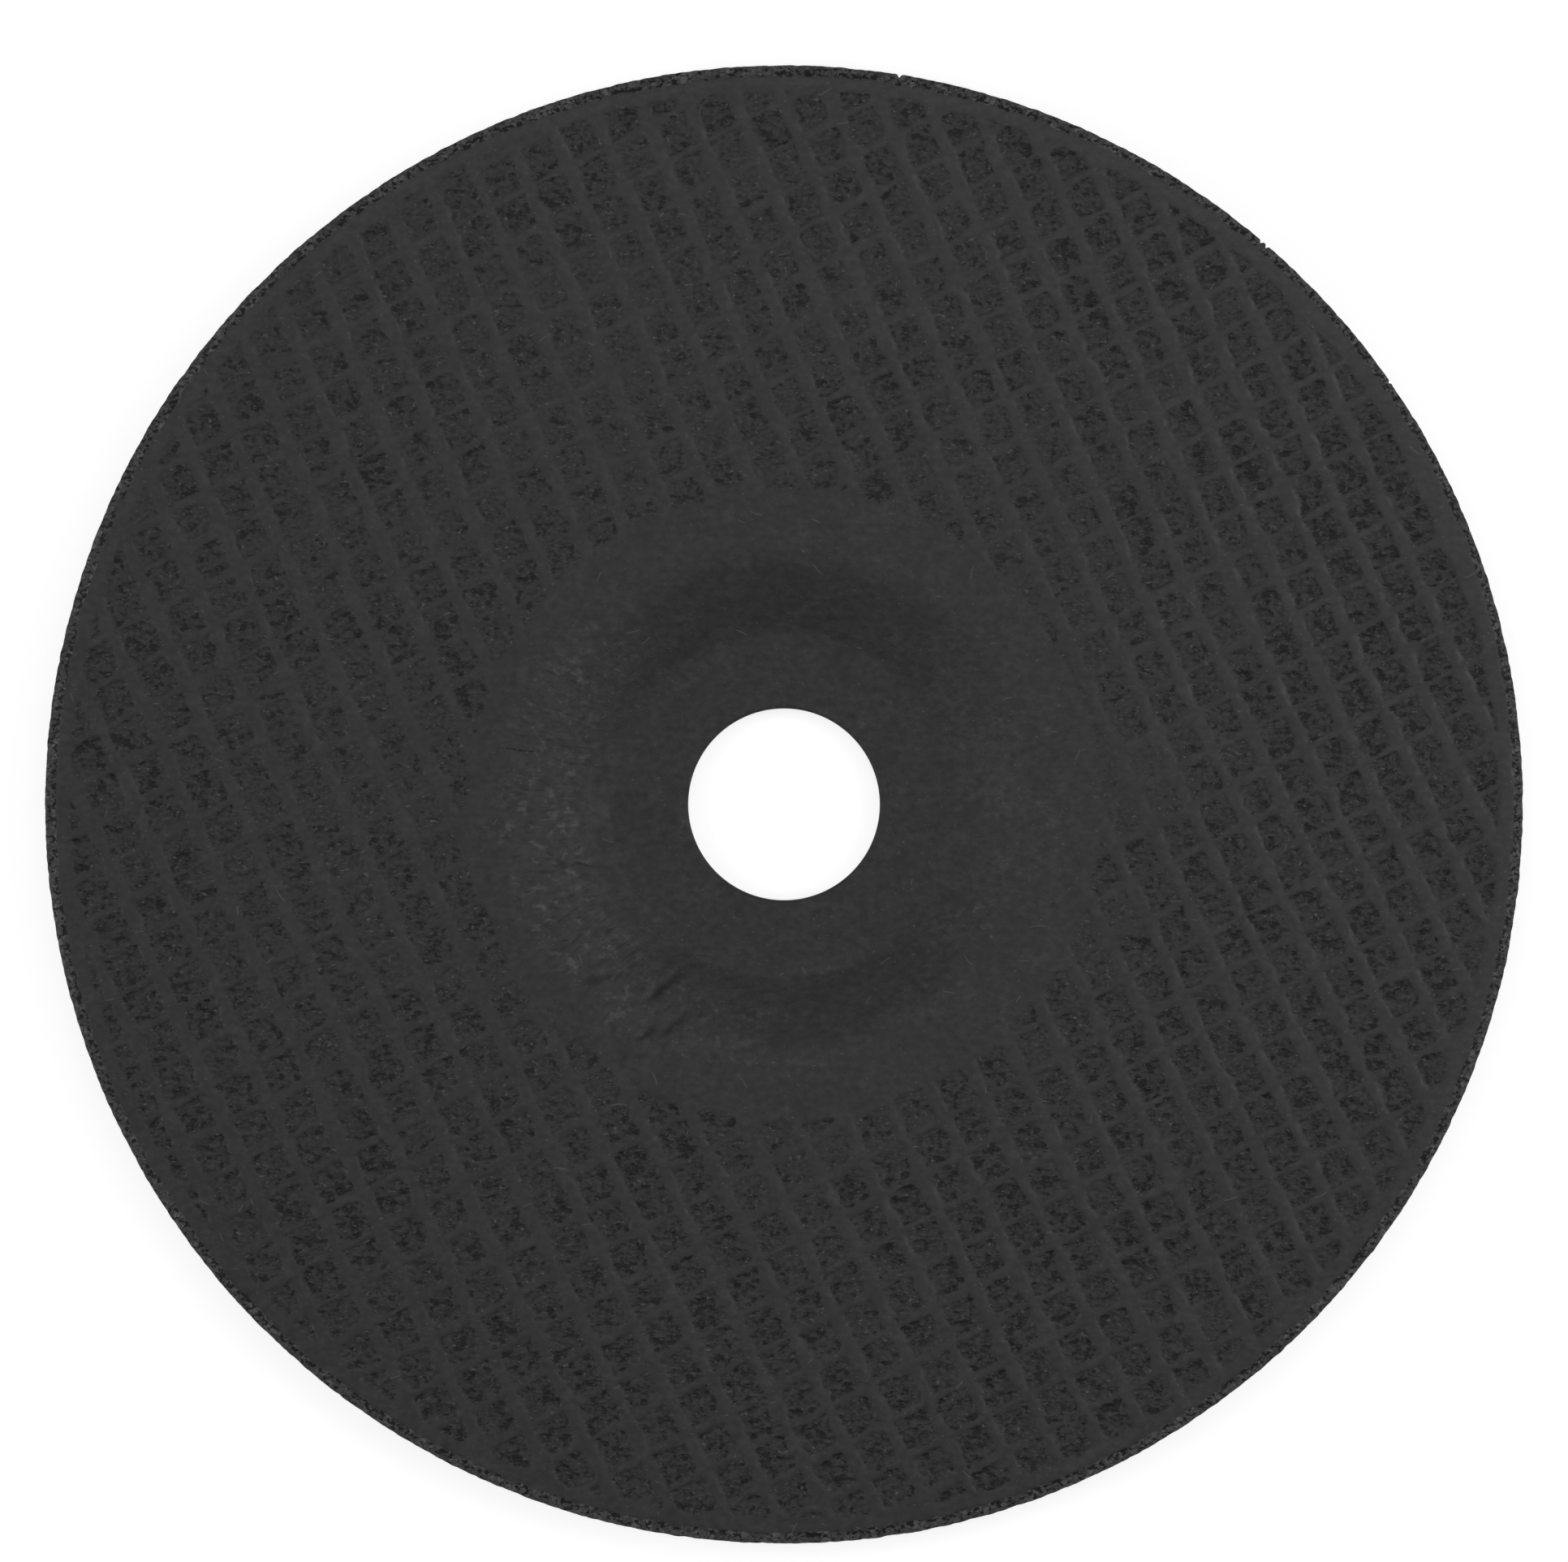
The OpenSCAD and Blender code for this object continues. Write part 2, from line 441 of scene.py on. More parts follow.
def loop_normals(loop):
    """Outward normals (r, z) along a closed section that runs clockwise."""
    run = np.roll(loop, -1, axis=0) - np.roll(loop, 1, axis=0)
    normals = np.stack([-run[:, 1], run[:, 0]], axis=1)
    return normals / np.hypot(*normals.T)[:, None]


def swept_points(loop, angles, lift):
    """Points of the swept section, moved outward by lift: an array by turn, row and axis."""
    normals = loop_normals(loop)
    r = loop[None, :, 0] + normals[None, :, 0] * lift
    z = loop[None, :, 1] + normals[None, :, 1] * lift
    cos, sin = np.cos(angles)[:, None], np.sin(angles)[:, None]
    return np.stack([r * cos, r * sin, z], axis=2)


def unit(vectors):
    """The same vectors, each one long."""
    return vectors / np.linalg.norm(vectors, axis=-1, keepdims=True)


def swept_normals(points, shown_rows):
    """Outward normals of the shown rows of a swept section, with plain ones for the hidden rows."""
    along = np.gradient(points[:, :shown_rows], axis=1)
    around = np.roll(points, -1, axis=0)[:, :shown_rows] - np.roll(points, 1, axis=0)[:, :shown_rows]
    normals = np.zeros_like(points)
    normals[..., 2] = 1
    normals[:, :shown_rows] = unit(np.cross(along, around))
    return normals


def tucked(points, faces):
    """Texture places for hidden faces, in a small corner of the map."""
    flat = points[:, :2] - points[:, :2].min(axis=0)
    flat = flat / flat.max()
    return 0.001 + 0.01 * flat[faces]


def make_piece(name, points, normals, faces, texture, material, marks):
    """A mesh piece from points in millimetres, which rides on the wheel and stands for it.

    faces and texture hold one array for each kind of face.
    """
    mesh = bpy.data.meshes.new(name)
    corners = np.concatenate([kind.ravel() for kind in faces])
    sides = np.concatenate([np.full(len(kind), kind.shape[1]) for kind in faces])
    mesh.vertices.add(len(points))
    mesh.vertices.foreach_set("co", (points * MM).astype(np.float32).ravel())
    mesh.loops.add(len(corners))
    mesh.loops.foreach_set("vertex_index", corners.astype(np.int32))
    mesh.polygons.add(len(sides))
    mesh.polygons.foreach_set("loop_start", (np.cumsum(sides) - sides).astype(np.int32))
    mesh.polygons.foreach_set("use_smooth", np.ones(len(sides), bool))
    mesh.update(calc_edges=True)
    shading = mesh.attributes.new("custom_normal", "FLOAT_VECTOR", "POINT")
    shading.data.foreach_set("vector", normals.astype(np.float32).ravel())
    layer = mesh.uv_layers.new(name="OFBake")
    places = np.concatenate([kind.reshape(-1, 2) for kind in texture])
    layer.data.foreach_set("uv", places.astype(np.float32).ravel())
    for mark, values in marks.items():
        mesh.attributes.new(mark, "FLOAT", "POINT").data.foreach_set("value", values.astype(np.float32).ravel())
    mesh.materials.append(material)
    if mesh.validate():
        raise RuntimeError(f"{name} came out with broken faces")
    piece = bpy.data.objects.new(name, mesh)
    bpy.context.scene.collection.objects.link(piece)
    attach(piece, WHEEL_BODY)
    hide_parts(WHEEL_NODE)
    return piece


# Creases pressed into the hub's slope: both ends, width and depth in millimetres
CREASES = (
    (-28.0, -6.7, -25.6, -7.5, 0.40, 0.16),
    (-24.6, -21.7, -20.2, -20.4, 0.50, 0.20),
    (-20.2, -20.4, -17.2, -18.5, 0.40, 0.08),
    (-16.7, -23.8, -12.3, -19.9, 0.50, 0.20),
    (-18.2, -29.2, -15.1, -26.5, 0.45, 0.18),
    (-15.1, -28.2, -11.6, -24.8, 0.50, 0.22),
    (-28.8, -19.0, -25.0, -16.5, 0.40, 0.10),
    (-19.6, -31.4, -18.9, -29.6, 0.35, 0.12),
    (14.2, -19.5, 17.6, -23.2, 0.45, 0.08),
)


# Thin cracks of the hub's skin: both ends (x, y) and the width in millimetres
CRACKS = (
    ((-34.9, 6.9), (-31.9, 6.6), 0.20),
    ((-32.4, 6.5), (-29.2, 6.4), 0.24),
    ((-30.9, 3.3), (-28.0, 2.2), 0.18),
    ((-29.8, -6.4), (-26.9, -6.8), 0.22),
    ((-27.6, -6.7), (-24.9, -7.5), 0.30),
    ((-25.5, -6.9), (-22.7, -7.6), 0.22),
)


def pressed_creases(x, y):
    """Depth of the creases at each place, and the painted shade in them."""
    depth = np.zeros_like(x)
    dark = np.zeros_like(x)
    wobble = 0.18 * soft_noise(x, y, 1.1, 79)
    for start_x, start_y, end_x, end_y, width, deepest in CREASES:
        run = np.array([end_x - start_x, end_y - start_y])
        along = ((x - start_x) * run[0] + (y - start_y) * run[1]) / (run @ run)
        along = np.clip(along, 0, 1)
        off = np.hypot(x - start_x - along * run[0], y - start_y - along * run[1]) + wobble
        share = np.exp(-((off / width) ** 2)) * (0.45 + 0.55 * np.sin(math.pi * along))
        lip = np.exp(-(((off - 1.9 * width) / (0.7 * width)) ** 2)) * np.sin(math.pi * along)
        depth = depth + deepest * (share - 0.3 * lip)
        # Painted shade, darkest along the middle of each crease.
        dark = np.maximum(dark, 4.0 * deepest * share**2)
    return depth, np.clip(dark, 0, 0.85)


def hub_relief(angles, loop, section):
    """Lift of the hub's skin and the marks of its creases, its painted highlight and its painted shade, with the places
    in the plane of the disc.
    """
    r = np.broadcast_to(loop[None, :, 0], (len(angles), len(loop)))
    x, y = r * np.cos(angles)[:, None], r * np.sin(angles)[:, None]
    around = angles[:, None] / (2 * math.pi) + 0.003 * soft_noise(x, y, 3, 71)
    # Creases and painted highlight are strongest on the left slope, then the right, which the lamps light, and weakest
    # at top and bottom.
    side = 0.42 + 0.35 * np.cos(angles[:, None] - math.radians(205))
    side = side + 0.35 * np.cos(2 * (angles[:, None] - math.radians(8)))
    zone = smooth(23, 26, r) * (1 - smooth(32.0, section.cloth_inner_r - 1.0, r))
    creased_and_lit = zone * np.clip(side + 0.35 * soft_noise(x, y, 5, 74), 0.12, 1)
    fine = smooth(0.35, 0.8, soft_noise(around * 210, r / 3.2, 1, 72, wrap=210))
    lumps = soft_noise(around * 110, r / 1.9, 1, 75, wrap=110)
    lift = creased_and_lit * (0.07 * lumps - 0.07 * fine)
    feather = smooth(26.5, 29, r) * (1 - smooth(31.5, 35.5, r))
    lift = lift + 0.07 * feather * soft_noise(around * 150, r / 5.0, 1, 78, wrap=150)
    depth, dark = pressed_creases(x, y)
    fade = smooth(0, 0.6, section.cloth_inner_r - r) * smooth(section.hole_r, section.hole_r + 0.8, r)
    lift = lift + fade * (0.014 * soft_noise(x, y, 1.4, 76) + 0.008 * soft_noise(x, y, 0.8, 77) - depth)
    return lift, {"creased_and_lit": creased_and_lit, "painted_crease_shade": dark}, x, y


def round_map(turn, row, turns, reach):
    """Texture places on an unrolled disc: reach is each row's distance from the disc's middle."""
    spin = 2 * math.pi * turn / turns
    far = 0.49 * reach[np.minimum(row, len(reach) - 1)] / reach.max()
    return np.stack([0.5 + far * np.cos(spin), 0.5 + far * np.sin(spin)], axis=-1)


def line_run(line):
    """Distance along a line at each of its points."""
    return np.concatenate([[0], np.cumsum(np.hypot(*np.diff(line, axis=0).T))])


def build_hub(section, name, shown_line, hidden_line, turns, material, mirrored):
    """A closed ring of the hub whose shown line has relief, with a plain hidden line through the middle."""
    loop = np.concatenate([shown_line, hidden_line])
    shown_rows = len(shown_line)
    angles, faces, turn, row = sweep(loop, turns)
    lift, marks, x, y = hub_relief(angles, loop, section)
    on_skin = np.broadcast_to(np.arange(len(loop)) < shown_rows, lift.shape)
    flat_edge = section.hub_flat_r if mirrored else section.hole_r + 1
    free = smooth(flat_edge, flat_edge + 3, np.hypot(x, y)) * on_skin
    points = swept_points(loop, angles, lift * (free if mirrored else on_skin))
    points[..., 2] += skin_wave(x, y) * free * (-1 if mirrored else 1)
    normals = swept_normals(points, shown_rows)
    flat_points = points.reshape(-1, 3)
    shown = row[:, 0] < shown_rows - 1
    run = line_run(shown_line)
    if mirrored:
        run = run.max() - run
    reach = run + section.hole_r - section.thick / 2
    spin = turn[shown] * (-1 if mirrored else 1)
    texture = [round_map(spin, row[shown], turns, reach), tucked(flat_points, faces[~shown])]
    kinds = [faces[shown], faces[~shown]]
    return make_piece(name, flat_points, normals.reshape(-1, 3), kinds, texture, material, marks)


def build_cloth_grid(section, cloth, warp_near, warp_steps, weft_near, weft_steps):
    """Grid over the mesh ring that follows the yarns: places, gaps to the yarns and which cells are kept."""
    centres = [cloth.centres(0), cloth.centres(1)]
    warp_lines = grid_lines(centres[0], np.array(warp_near), warp_steps)
    weft_lines = grid_lines(centres[1], np.array(weft_near), weft_steps)
    warp_at, weft_at = np.meshgrid(warp_lines, weft_lines, indexing="ij")
    x, y = cloth.place(warp_at, weft_at)
    middle_x = (x[1:, 1:] + x[:-1, 1:] + x[1:, :-1] + x[:-1, :-1]) / 4
    middle_y = (y[1:, 1:] + y[:-1, 1:] + y[1:, :-1] + y[:-1, :-1]) / 4
    middle_r = np.hypot(middle_x, middle_y)
    kept = (middle_r > section.cloth_inner_r) & (middle_r < section.cloth_outer_r)
    near_kept = np.zeros(x.shape, int)
    for across in (0, 1):
        for up in (0, 1):
            near_kept[across : across + kept.shape[0], up : up + kept.shape[1]] += kept
    edge = (near_kept > 0) & (near_kept < 4)
    r = np.hypot(x, y)
    halfway = (section.cloth_inner_r + section.cloth_outer_r) / 2
    target = np.where(r < halfway, section.cloth_inner_r, section.cloth_outer_r)
    pull = np.where(edge, target / np.maximum(r, 1), 1)
    warp = [values[:, None] for values in yarn_gaps(warp_lines, centres[0])]
    weft = [values[None, :] for values in yarn_gaps(weft_lines, centres[1])]
    return {"x": x * pull, "y": y * pull, "warp": warp, "weft": weft, "kept": kept, "warp_lines": warp_lines,
            "warp_centres": centres[0]}


def seams(grid, places):
    """Grid rows of the warp yarns whose centres lie nearest to some places."""
    found = []
    for place in places:
        centre = grid["warp_centres"][np.abs(grid["warp_centres"] - place).argmin()]
        found.append(int(np.abs(grid["warp_lines"] - centre).argmin()))
    return found


def boundary_loop(faces):
    """The one closed boundary of a patch of faces, as corners in order."""
    start, end = faces.ravel(), np.roll(faces, -1, axis=1).ravel()
    top = max(start.max(), end.max()) + 1
    forward, backward = start * top + end, end * top + start
    free = ~np.isin(forward, backward)
    follow = dict(zip(start[free].tolist(), end[free].tolist()))
    first = next(iter(follow))
    loop = [first]
    while follow[loop[-1]] != first:
        loop.append(follow[loop[-1]])
    if len(loop) != len(follow):
        raise RuntimeError("a strip of the mesh has more than one boundary")
    return np.array(loop)


def strip_map(x, y, faces, turn, mirrored):
    """Texture places of a strip along the warp, cut in two halves that lie side by side."""
    across = x * math.cos(turn) + y * math.sin(turn)
    along = y * math.cos(turn) - x * math.sin(turn)
    if mirrored:
        across = -across
    across = (across - across.min()) / (across.max() - across.min())
    upper = along[faces].mean(axis=1) > 0
    low, high = along.min(), along.max()
    rise = np.where(upper[:, None], along[faces] / high, (along[faces] - low) / -low)
    side = np.where(upper, 0.5, 0.0)[:, None]
    return np.stack([side + 0.01 + 0.48 * across[faces], 0.012 + 0.976 * rise], axis=-1)


def grid_normals(grid, height, mirrored):
    """Outward normals over the whole grid, so that strips meet without a seam."""
    points = np.stack([grid["x"], grid["y"], height], axis=2)
    normals = unit(np.cross(np.gradient(points, axis=0), np.gradient(points, axis=1)))
    return normals * np.sign(normals[..., 2:]) * (-1 if mirrored else 1)


def build_strip(name, grid, rows, height, normals, marks, floor_z, material, turn, mirrored):
    """One closed skin of the mesh ring between two grid rows, with its flat hidden side at floor_z."""
    kept = grid["kept"][rows[0] : rows[1]]
    i, j = np.nonzero(kept)
    columns = grid["x"].shape[1]
    corner = (i + rows[0]) * columns + j
    order = [0, columns, columns + 1, 1] if mirrored else [0, 1, columns + 1, columns]
    wide_faces = corner[:, None] + np.array(order)
    used, faces = np.unique(wide_faces, return_inverse=True)
    faces = faces.reshape(wide_faces.shape)
    x, y = grid["x"].ravel()[used], grid["y"].ravel()[used]
    skin = np.stack([x, y, height.ravel()[used]], axis=1)
    loop = boundary_loop(faces)
    below = skin[loop] * [1, 1, 0] + [0, 0, floor_z]
    points = np.concatenate([skin, below])
    skin_normals = normals.reshape(-1, 3)[used]
    all_normals = np.concatenate([skin_normals, -skin_normals[loop]])
    lower = len(skin) + np.arange(len(loop))
    walls = np.stack([np.roll(loop, -1), loop, lower, np.roll(lower, -1)], axis=1)
    base = lower[::-1][None, :]
    texture = [strip_map(x, y, faces, turn, mirrored), tucked(points, walls), tucked(points, base)]
    marks = {mark: np.concatenate([values.ravel()[used], np.zeros(len(loop))]) for mark, values in marks.items()}
    return make_piece(name, points, all_normals, [faces, walls, base], texture, material, marks)


# Shared effects, as node groups


def add_node(tree, kind, inputs=None, **settings):
    """A node with its settings, its inputs given as values or as sockets to join."""
    node = tree.nodes.new(kind)
    for setting, value in settings.items():
        setattr(node, setting, value)
    for name, value in (inputs or {}).items():
        if isinstance(value, bpy.types.NodeSocket):
            tree.links.new(value, node.inputs[name])
        else:
            node.inputs[name].default_value = value
    return node


def calculate(tree, operation, first, second=0.0, clamp=False):
    """A math node's result."""
    return add_node(tree, "ShaderNodeMath", {0: first, 1: second}, operation=operation, use_clamp=clamp).outputs[0]


def map_value(tree, value, low, high, to_low=0.0, to_high=1.0):
    """A value mapped from one range to another, held within it."""
    inputs = {"Value": value, "From Min": low, "From Max": high, "To Min": to_low, "To Max": to_high}
    return add_node(tree, "ShaderNodeMapRange", inputs).outputs["Result"]


def mix_colour(tree, factor, first, second):
    """A mix of two colours."""
    return add_node(tree, "ShaderNodeMix", {0: factor, 6: first, 7: second}, data_type="RGBA").outputs[2]


def effect_group(name, inputs, outputs, build):
    """A shared node group, built once. inputs and outputs map socket names to kinds."""
    if name in bpy.data.node_groups:
        return bpy.data.node_groups[name]
    group = bpy.data.node_groups.new(name, "ShaderNodeTree")
    for direction, sockets in (("INPUT", inputs), ("OUTPUT", outputs)):
        for socket, kind in sockets.items():
            group.interface.new_socket(name=socket, in_out=direction, socket_type=kind)
    given = group.nodes.new("NodeGroupInput").outputs
    result = group.nodes.new("NodeGroupOutput").inputs
    for socket, value in build(group, given).items():
        group.links.new(value, result[socket])
    return group


NUMBER = "NodeSocketFloat"
VECTOR = "NodeSocketVector"


def shrink(tree, vector, size):
    """A vector in units of a size."""
    factor = calculate(tree, "DIVIDE", 1.0, size)
    return add_node(tree, "ShaderNodeVectorMath", {0: vector, "Scale": factor}, operation="SCALE").outputs[0]


def cloud_group():
    """Slow cloudy change between two values, in patches wider than they are high."""

    def build(tree, given):
        scaled = shrink(tree, given["Vector"], given["Size"])
        flat = add_node(tree, "ShaderNodeVectorMath", {0: scaled, 1: (0.85, 1.08, 1.0)}, operation="MULTIPLY").outputs[0]
        inputs = {"Vector": flat, "Scale": 1.0, "Detail": given["Detail"]}
        noise = add_node(tree, "ShaderNodeTexNoise", inputs).outputs["Fac"]
        return {"Value": map_value(tree, noise, 0.3, 0.7, given["Low"], given["High"])}

    inputs = {"Vector": VECTOR, "Size": NUMBER, "Detail": NUMBER, "Low": NUMBER, "High": NUMBER}
    return effect_group("Cloud", inputs, {"Value": NUMBER}, build)


def grit_group():
    """Packed grains: a rounded height and a tone for each, and how far each place is from its grain's edge."""

    def build(tree, given):
        scaled = shrink(tree, given["Vector"], given["Size"])
        cells = add_node(tree, "ShaderNodeTexVoronoi", {"Vector": scaled, "Scale": 1.0, "Randomness": 1.0})
        tone = add_node(tree, "ShaderNodeSeparateColor", {"Color": cells.outputs["Color"]}).outputs[0]
        dome = calculate(tree, "SUBTRACT", 1.0, cells.outputs["Distance"])
        lifted = add_node(tree, "ShaderNodeMath", {0: tone, 1: 0.5, 2: dome}, operation="MULTIPLY_ADD").outputs[0]
        edges = add_node(tree, "ShaderNodeTexVoronoi", {"Vector": scaled, "Scale": 1.0}, feature="DISTANCE_TO_EDGE")
        return {"Height": lifted, "Tone": tone, "Edge": edges.outputs["Distance"]}

    outputs = {"Height": NUMBER, "Tone": NUMBER, "Edge": NUMBER}
    return effect_group("Grit", {"Vector": VECTOR, "Size": NUMBER}, outputs, build)


def fibre_group():
    """Short straight lengths of glass fibre scattered through the skin, one in some of the cells."""

    def build(tree, given):
        scaled = shrink(tree, given["Vector"], given["Spacing"])
        cells = add_node(tree, "ShaderNodeTexVoronoi", {"Vector": scaled, "Scale": 1.0}, voronoi_dimensions="2D")
        picks = add_node(tree, "ShaderNodeSeparateColor", {"Color": cells.outputs["Color"]}).outputs
        offset = add_node(tree, "ShaderNodeVectorMath", {0: scaled, 1: cells.outputs["Position"]}, operation="SUBTRACT")
        spin = calculate(tree, "MULTIPLY", picks[0], math.pi * 2)
        turn = add_node(tree, "ShaderNodeVectorRotate", {"Vector": offset.outputs[0], "Angle": spin}, rotation_type="Z_AXIS")
        along, across, _ = add_node(tree, "ShaderNodeSeparateXYZ", {0: turn.outputs[0]}).outputs
        bend = calculate(tree, "SUBTRACT", picks[1], 0.4)
        bent = calculate(tree, "MULTIPLY", calculate(tree, "MULTIPLY", along, along), bend)
        from_line = calculate(tree, "ABSOLUTE", calculate(tree, "SUBTRACT", across, bent))
        half_length = calculate(tree, "MULTIPLY", given["Length"], picks[1])
        ends = calculate(tree, "MULTIPLY", half_length, 1.2)
        line = map_value(tree, from_line, calculate(tree, "MULTIPLY", given["Width"], 0.4), given["Width"], 1.0, 0.0)
        inside = map_value(tree, calculate(tree, "ABSOLUTE", along), half_length, ends, 1.0, 0.0)
        chosen = calculate(tree, "LESS_THAN", picks[2], given["Share"])
        return {"Mask": calculate(tree, "MULTIPLY", calculate(tree, "MULTIPLY", line, inside), chosen)}

    inputs = {"Vector": VECTOR, "Spacing": NUMBER, "Length": NUMBER, "Width": NUMBER, "Share": NUMBER}
    return effect_group("Fibre flecks", inputs, {"Mask": NUMBER}, build)


def blot_group():
    """Irregular blots with soft edges, wider than they are high, over a share of the surface."""

    def build(tree, given):
        scaled = shrink(tree, given["Vector"], given["Size"])
        flat = add_node(tree, "ShaderNodeVectorMath", {0: scaled, 1: (0.8, 1.1, 1.0)}, operation="MULTIPLY").outputs[0]
        inputs = {"Vector": flat, "Scale": 1.0, "Detail": given["Detail"], "Roughness": 0.6}
        noise = add_node(tree, "ShaderNodeTexNoise", inputs).outputs["Fac"]
        start = map_value(tree, given["Share"], 0.0, 1.0, 0.72, 0.28)
        return {"Mask": map_value(tree, noise, start, calculate(tree, "ADD", start, given["Softness"]))}

    inputs = {"Vector": VECTOR, "Size": NUMBER, "Detail": NUMBER, "Share": NUMBER, "Softness": NUMBER}
    return effect_group("Blots", inputs, {"Mask": NUMBER}, build)


def streak_group():
    """Streaks that run out from the wheel's axis, as a value from 0 to 1."""

    def build(tree, given):
        x, y, _ = add_node(tree, "ShaderNodeSeparateXYZ", {0: given["Vector"]}).outputs
        plane = add_node(tree, "ShaderNodeCombineXYZ", {"X": x, "Y": y}).outputs[0]
        reach = add_node(tree, "ShaderNodeVectorMath", {0: plane}, operation="LENGTH").outputs["Value"]
        ray = add_node(tree, "ShaderNodeVectorMath", {0: plane}, operation="NORMALIZE").outputs[0]
        ring = calculate(tree, "DIVIDE", given["Radius"], given["Width"])
        around = add_node(tree, "ShaderNodeVectorMath", {0: ray, "Scale": ring}, operation="SCALE").outputs[0]
        out = add_node(tree, "ShaderNodeCombineXYZ", {"Z": calculate(tree, "DIVIDE", reach, given["Length"])}).outputs[0]
        place = add_node(tree, "ShaderNodeVectorMath", {0: around, 1: out}, operation="ADD").outputs[0]
        inputs = {"Vector": place, "Scale": 1.0, "Detail": 1.0, "Distortion": 0.4}
        return {"Value": map_value(tree, add_node(tree, "ShaderNodeTexNoise", inputs).outputs["Fac"], 0.3, 0.7)}

    inputs = {"Vector": VECTOR, "Radius": NUMBER, "Width": NUMBER, "Length": NUMBER}
    return effect_group("Radial streaks", inputs, {"Value": NUMBER}, build)


def crack_group():
    """A thin crack between two places, of changing width and fading at its ends."""

    def build(tree, given):
        run = add_node(tree, "ShaderNodeVectorMath", {0: given["End"], 1: given["Start"]}, operation="SUBTRACT").outputs[0]
        gone = add_node(tree, "ShaderNodeVectorMath", {0: given["Vector"], 1: given["Start"]}, operation="SUBTRACT")
        flat = add_node(tree, "ShaderNodeVectorMath", {0: gone.outputs[0], 1: (1.0, 1.0, 0.0)}, operation="MULTIPLY")
        reach = add_node(tree, "ShaderNodeVectorMath", {0: flat.outputs[0], 1: run}, operation="DOT_PRODUCT").outputs["Value"]
        whole = add_node(tree, "ShaderNodeVectorMath", {0: run, 1: run}, operation="DOT_PRODUCT").outputs["Value"]
        along = calculate(tree, "DIVIDE", reach, whole, clamp=True)
        nearest = add_node(tree, "ShaderNodeVectorMath", {0: run, "Scale": along}, operation="SCALE").outputs[0]
        off = add_node(tree, "ShaderNodeVectorMath", {0: flat.outputs[0], 1: nearest}, operation="DISTANCE").outputs["Value"]
        noise = add_node(tree, "ShaderNodeTexNoise", {"Vector": given["Vector"], "Scale": 1.6, "Detail": 1.0}).outputs["Fac"]
        sway = calculate(tree, "MULTIPLY", map_value(tree, noise, 0.3, 0.7, 0.0, 0.8), given["Width"])
        off = calculate(tree, "ADD", off, sway)
        line = map_value(tree, off, calculate(tree, "MULTIPLY", given["Width"], 0.2), given["Width"], 1.0, 0.0)
        ends = calculate(tree, "MULTIPLY", map_value(tree, along, 0.0, 0.15), map_value(tree, along, 0.85, 1.0, 1.0, 0.0))
        return {"Mask": calculate(tree, "MULTIPLY", line, ends)}

    inputs = {"Vector": VECTOR, "Start": VECTOR, "End": VECTOR, "Width": NUMBER}
    return effect_group("Crack", inputs, {"Mask": NUMBER}, build)


def use_effect(tree, group, inputs):
    """One use of a shared group, with its own values."""
    node = tree.nodes.new("ShaderNodeGroup")
    node.node_tree = group
    for name, value in inputs.items():
        if isinstance(value, bpy.types.NodeSocket):
            tree.links.new(value, node.inputs[name])
        else:
            node.inputs[name].default_value = value
    return node.outputs


# Materials


def start_material(name, gloss):
    """A material with its shader, and the place on the wheel in millimetres."""
    material = bpy.data.materials.new(name)
    material.use_nodes = True
    tree = material.node_tree
    tree.nodes.clear()
    shader = add_node(tree, "ShaderNodeBsdfPrincipled", {"Specular IOR Level": gloss})
    add_node(tree, "ShaderNodeOutputMaterial", {"Surface": shader.outputs[0]})
    place = add_node(tree, "ShaderNodeTexCoord").outputs["Object"]
    scaled = add_node(tree, "ShaderNodeVectorMath", {0: place, "Scale": 1 / MM}, operation="SCALE").outputs[0]
    return material, tree, shader, scaled


def opaque(values):
    """A colour property as the colour of a socket."""
    return (*values, 1.0)


def mark_value(tree, name):
    """A mark that the mesh carries."""
    return add_node(tree, "ShaderNodeAttribute", attribute_name=name).outputs["Fac"]


def finish_material(tree, shader, base, roughness, height, relief):
    """Joins colour, roughness and a height of up to relief metres to the shader."""
    tree.links.new(base, shader.inputs["Base Color"])
    tree.links.new(roughness, shader.inputs["Roughness"])
    bump = add_node(tree, "ShaderNodeBump", {"Strength": 1.0, "Distance": relief, "Height": height})
    tree.links.new(bump.outputs["Normal"], shader.inputs["Normal"])


def cloud(tree, place, size, detail, low, high):
    """Cloudy change between two values."""
    inputs = {"Vector": place, "Size": size, "Detail": detail, "Low": low, "High": high}
    return use_effect(tree, cloud_group(), inputs)["Value"]


def blots(tree, place, size, detail, share_covered, softness):
    """A mask of irregular blots."""
    inputs = {"Vector": place, "Size": size, "Detail": detail, "Share": share_covered, "Softness": softness}
    return use_effect(tree, blot_group(), inputs)["Mask"]


def painted_light_gradient(tree, place):
    """How much painted light lifts the skin outside the dish, rising from the lower left to the upper right."""
    x, y, _ = add_node(tree, "ShaderNodeSeparateXYZ", {0: place}).outputs
    plane = add_node(tree, "ShaderNodeCombineXYZ", {"X": x, "Y": y}).outputs[0]
    reach = add_node(tree, "ShaderNodeVectorMath", {0: plane}, operation="LENGTH").outputs["Value"]
    upward = calculate(tree, "MULTIPLY", calculate(tree, "MULTIPLY", y, reach), 0.01)
    slant = calculate(tree, "ADD", calculate(tree, "MULTIPLY", x, 0.5), upward)
    painted_light = map_value(tree, slant, -90.0, 90.0, 0.0, 0.15)
    return calculate(tree, "MULTIPLY", painted_light, map_value(tree, reach, 18.0, 50.0))


